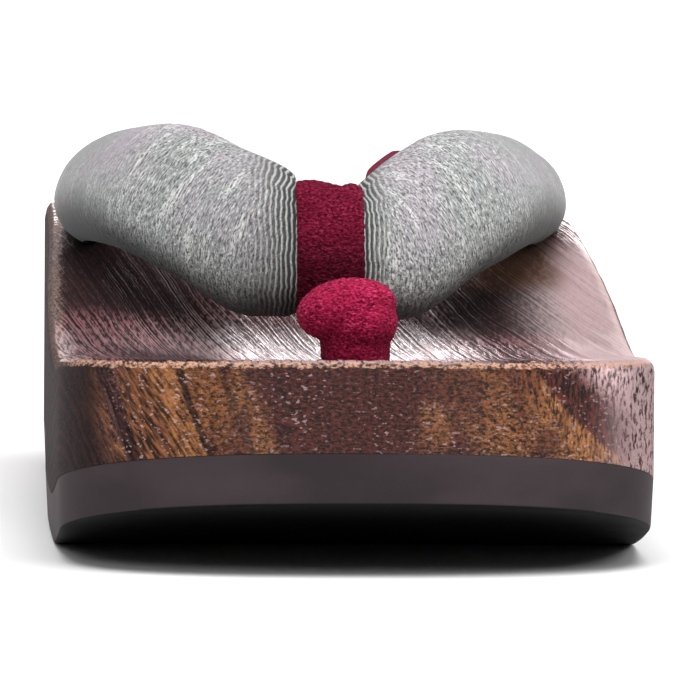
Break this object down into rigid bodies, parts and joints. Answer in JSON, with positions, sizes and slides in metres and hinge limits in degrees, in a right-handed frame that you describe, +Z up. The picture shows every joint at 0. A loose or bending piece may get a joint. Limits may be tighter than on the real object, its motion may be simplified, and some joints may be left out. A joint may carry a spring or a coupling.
{
  "type": "geta sandal",
  "caption": "Left geta sandal with a lacquered wooden base, toe spring, rubber soles and a padded cloth thong strap with velvet lining.",
  "frame": {"origin": "on the floor under the middle of the sandal's box", "axes": "+Z up, toe towards -Y, heel towards +Y, the big toe's side of this left sandal towards -X"},
  "size_m": [0.0892, 0.24, 0.0619],
  "materials": {
    "lacquered_wood": "dark scorched grain under glossy lacquer",
    "sole_rubber": "matt dark grey rubber",
    "grey_crepe": "finely ribbed grey crepe over padding",
    "crimson_velvet": "short crimson velvet pile",
    "cotton_cord": "dark twisted cotton cord"
  },
  "bodies": {
    "root": {"wood_base": "lacquered_wood", "front_sole": "sole_rubber", "heel_sole": "sole_rubber", "strap_cover": "grey_crepe", "strap_lining": "crimson_velvet", "toe_thong": "crimson_velvet", "inner_strap_knot": "cotton_cord", "outer_strap_knot": "cotton_cord"}
  },
  "joints": []
}
